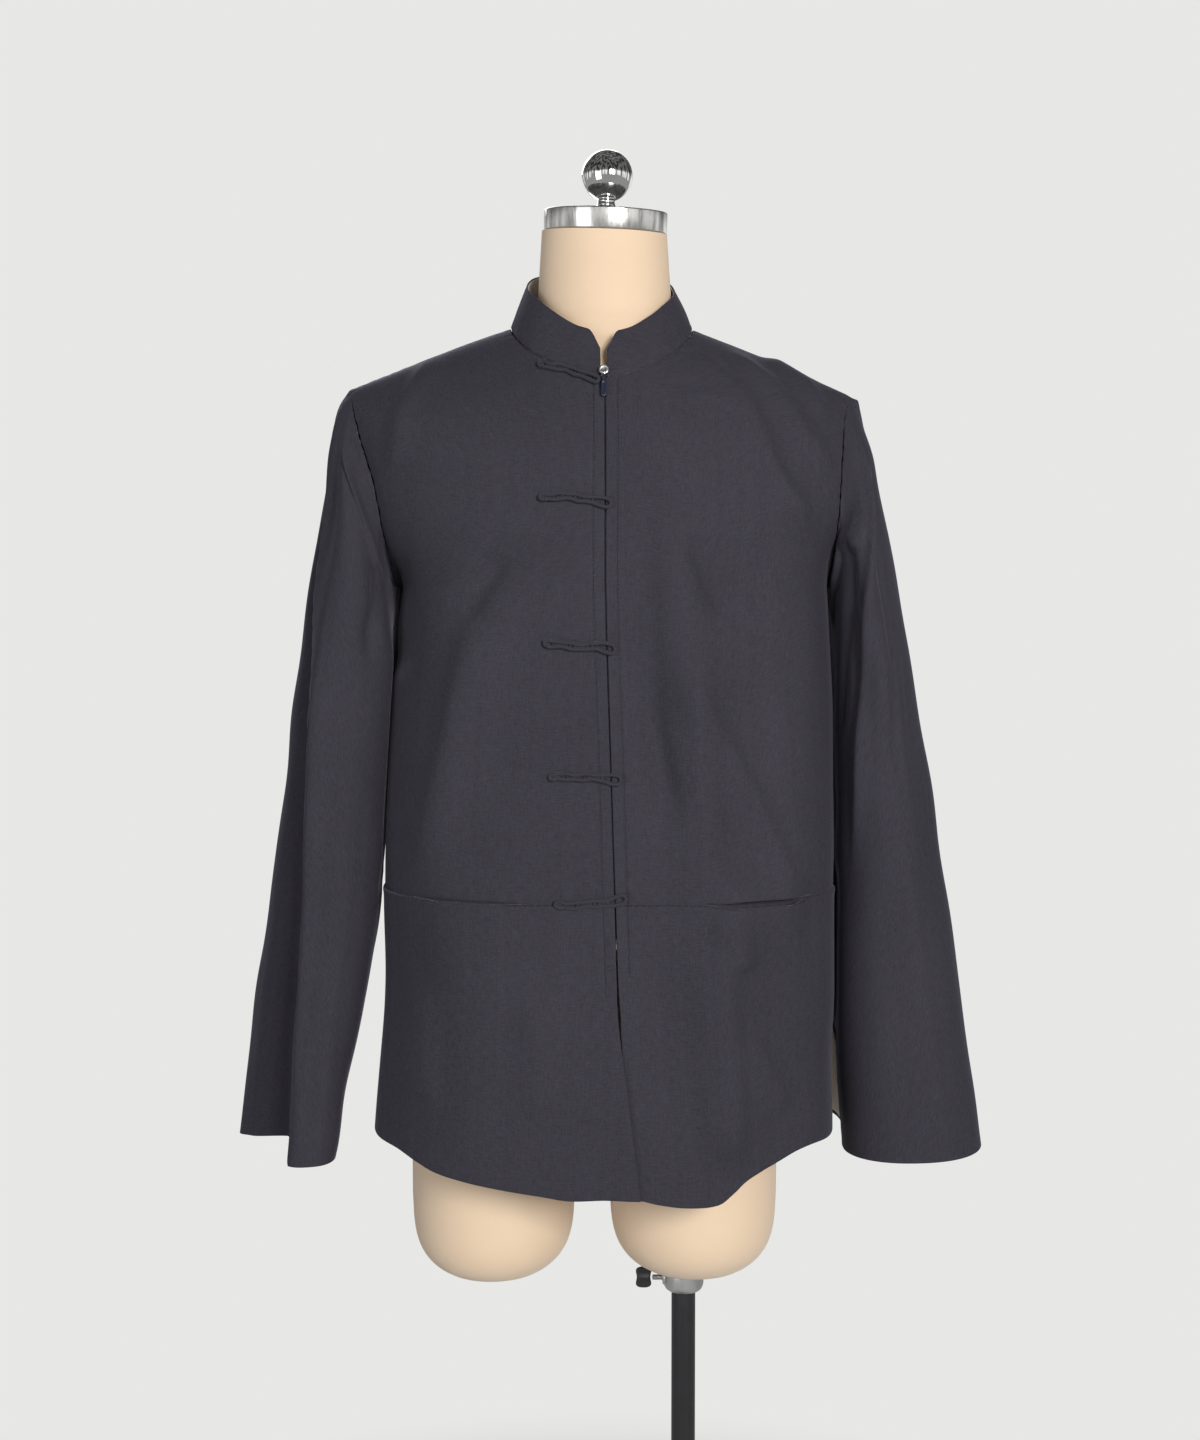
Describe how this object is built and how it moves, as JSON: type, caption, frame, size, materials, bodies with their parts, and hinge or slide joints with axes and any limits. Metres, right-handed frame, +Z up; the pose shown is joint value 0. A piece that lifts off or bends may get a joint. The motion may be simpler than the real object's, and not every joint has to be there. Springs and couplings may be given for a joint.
{
  "type": "tang jacket on a dress form",
  "caption": "Stand-collar jacket with cord loops, a front zip and patch pockets, on a half-body dress form that slides on a pole above a round base.",
  "frame": {"origin": "centre of the round base's underside, straight below the form's centre line", "axes": "+Z up along the stand; the garment's front faces -Y; the wearer's right is towards -X"},
  "size_m": [0.695, 0.4, 1.5872],
  "materials": {
    "jacket_cloth": "plain weave with a soft sheen",
    "frog_cord": "folded cloth cord",
    "pale_facing": "matt plain weave",
    "zip_tape": "woven tape",
    "zip_metal": "polished",
    "pull_tab": "satin",
    "form_cover": "fine matt cover",
    "cap_steel": "turned and brushed",
    "finial": "mirror polish",
    "socket": "satin",
    "screw": "machined",
    "knob": "moulded",
    "pole": "satin powder coat",
    "base": "brushed"
  },
  "bodies": {
    "base": {"base": "base"},
    "pole": {"pole": "pole"},
    "form": {"form": "form_cover", "neck_cap": "cap_steel", "finial": "finial", "clamp_socket": "socket", "back": "jacket_cloth", "front_right": "jacket_cloth", "front_left": "jacket_cloth", "sleeve_right": "jacket_cloth", "sleeve_left": "jacket_cloth", "collar": "jacket_cloth", "pocket_right": "jacket_cloth", "pocket_left": "jacket_cloth", "frog_1": "frog_cord", "frog_2": "frog_cord", "frog_3": "frog_cord", "frog_4": "frog_cord", "frog_5": "frog_cord", "collar_facing": "pale_facing", "slit_facing_right": "pale_facing", "slit_facing_left": "pale_facing", "zip_tape": "zip_tape", "zip_box": "zip_metal", "zip_slider": "zip_metal"},
    "knob": {"clamp_screw": "screw", "clamp_knob": "knob"},
    "zip_pull": {"zip_pull": "pull_tab"}
  },
  "joints": [
    {"name": "pole_turn", "type": "hinge", "parent": "base", "child": "pole", "pos_m": [0.073, 0, 0], "axis": [0, 0, 1], "continuous": true},
    {"name": "form_height", "type": "slide", "parent": "pole", "child": "form", "axis": [0, 0, 1], "range_m": [-0.1, 0.12]},
    {"name": "knob_turn", "type": "hinge", "parent": "form", "child": "knob", "pos_m": [0.062, 0, 0.5625], "axis": [-1, 0, 0], "range_deg": [-180, 180]},
    {"name": "zip_pull_swing", "type": "hinge", "parent": "form", "child": "zip_pull", "pos_m": [-0.0008, -0.09682, 1.3756], "axis": [-1, 0, 0], "range_deg": [0, 120]}
  ]
}
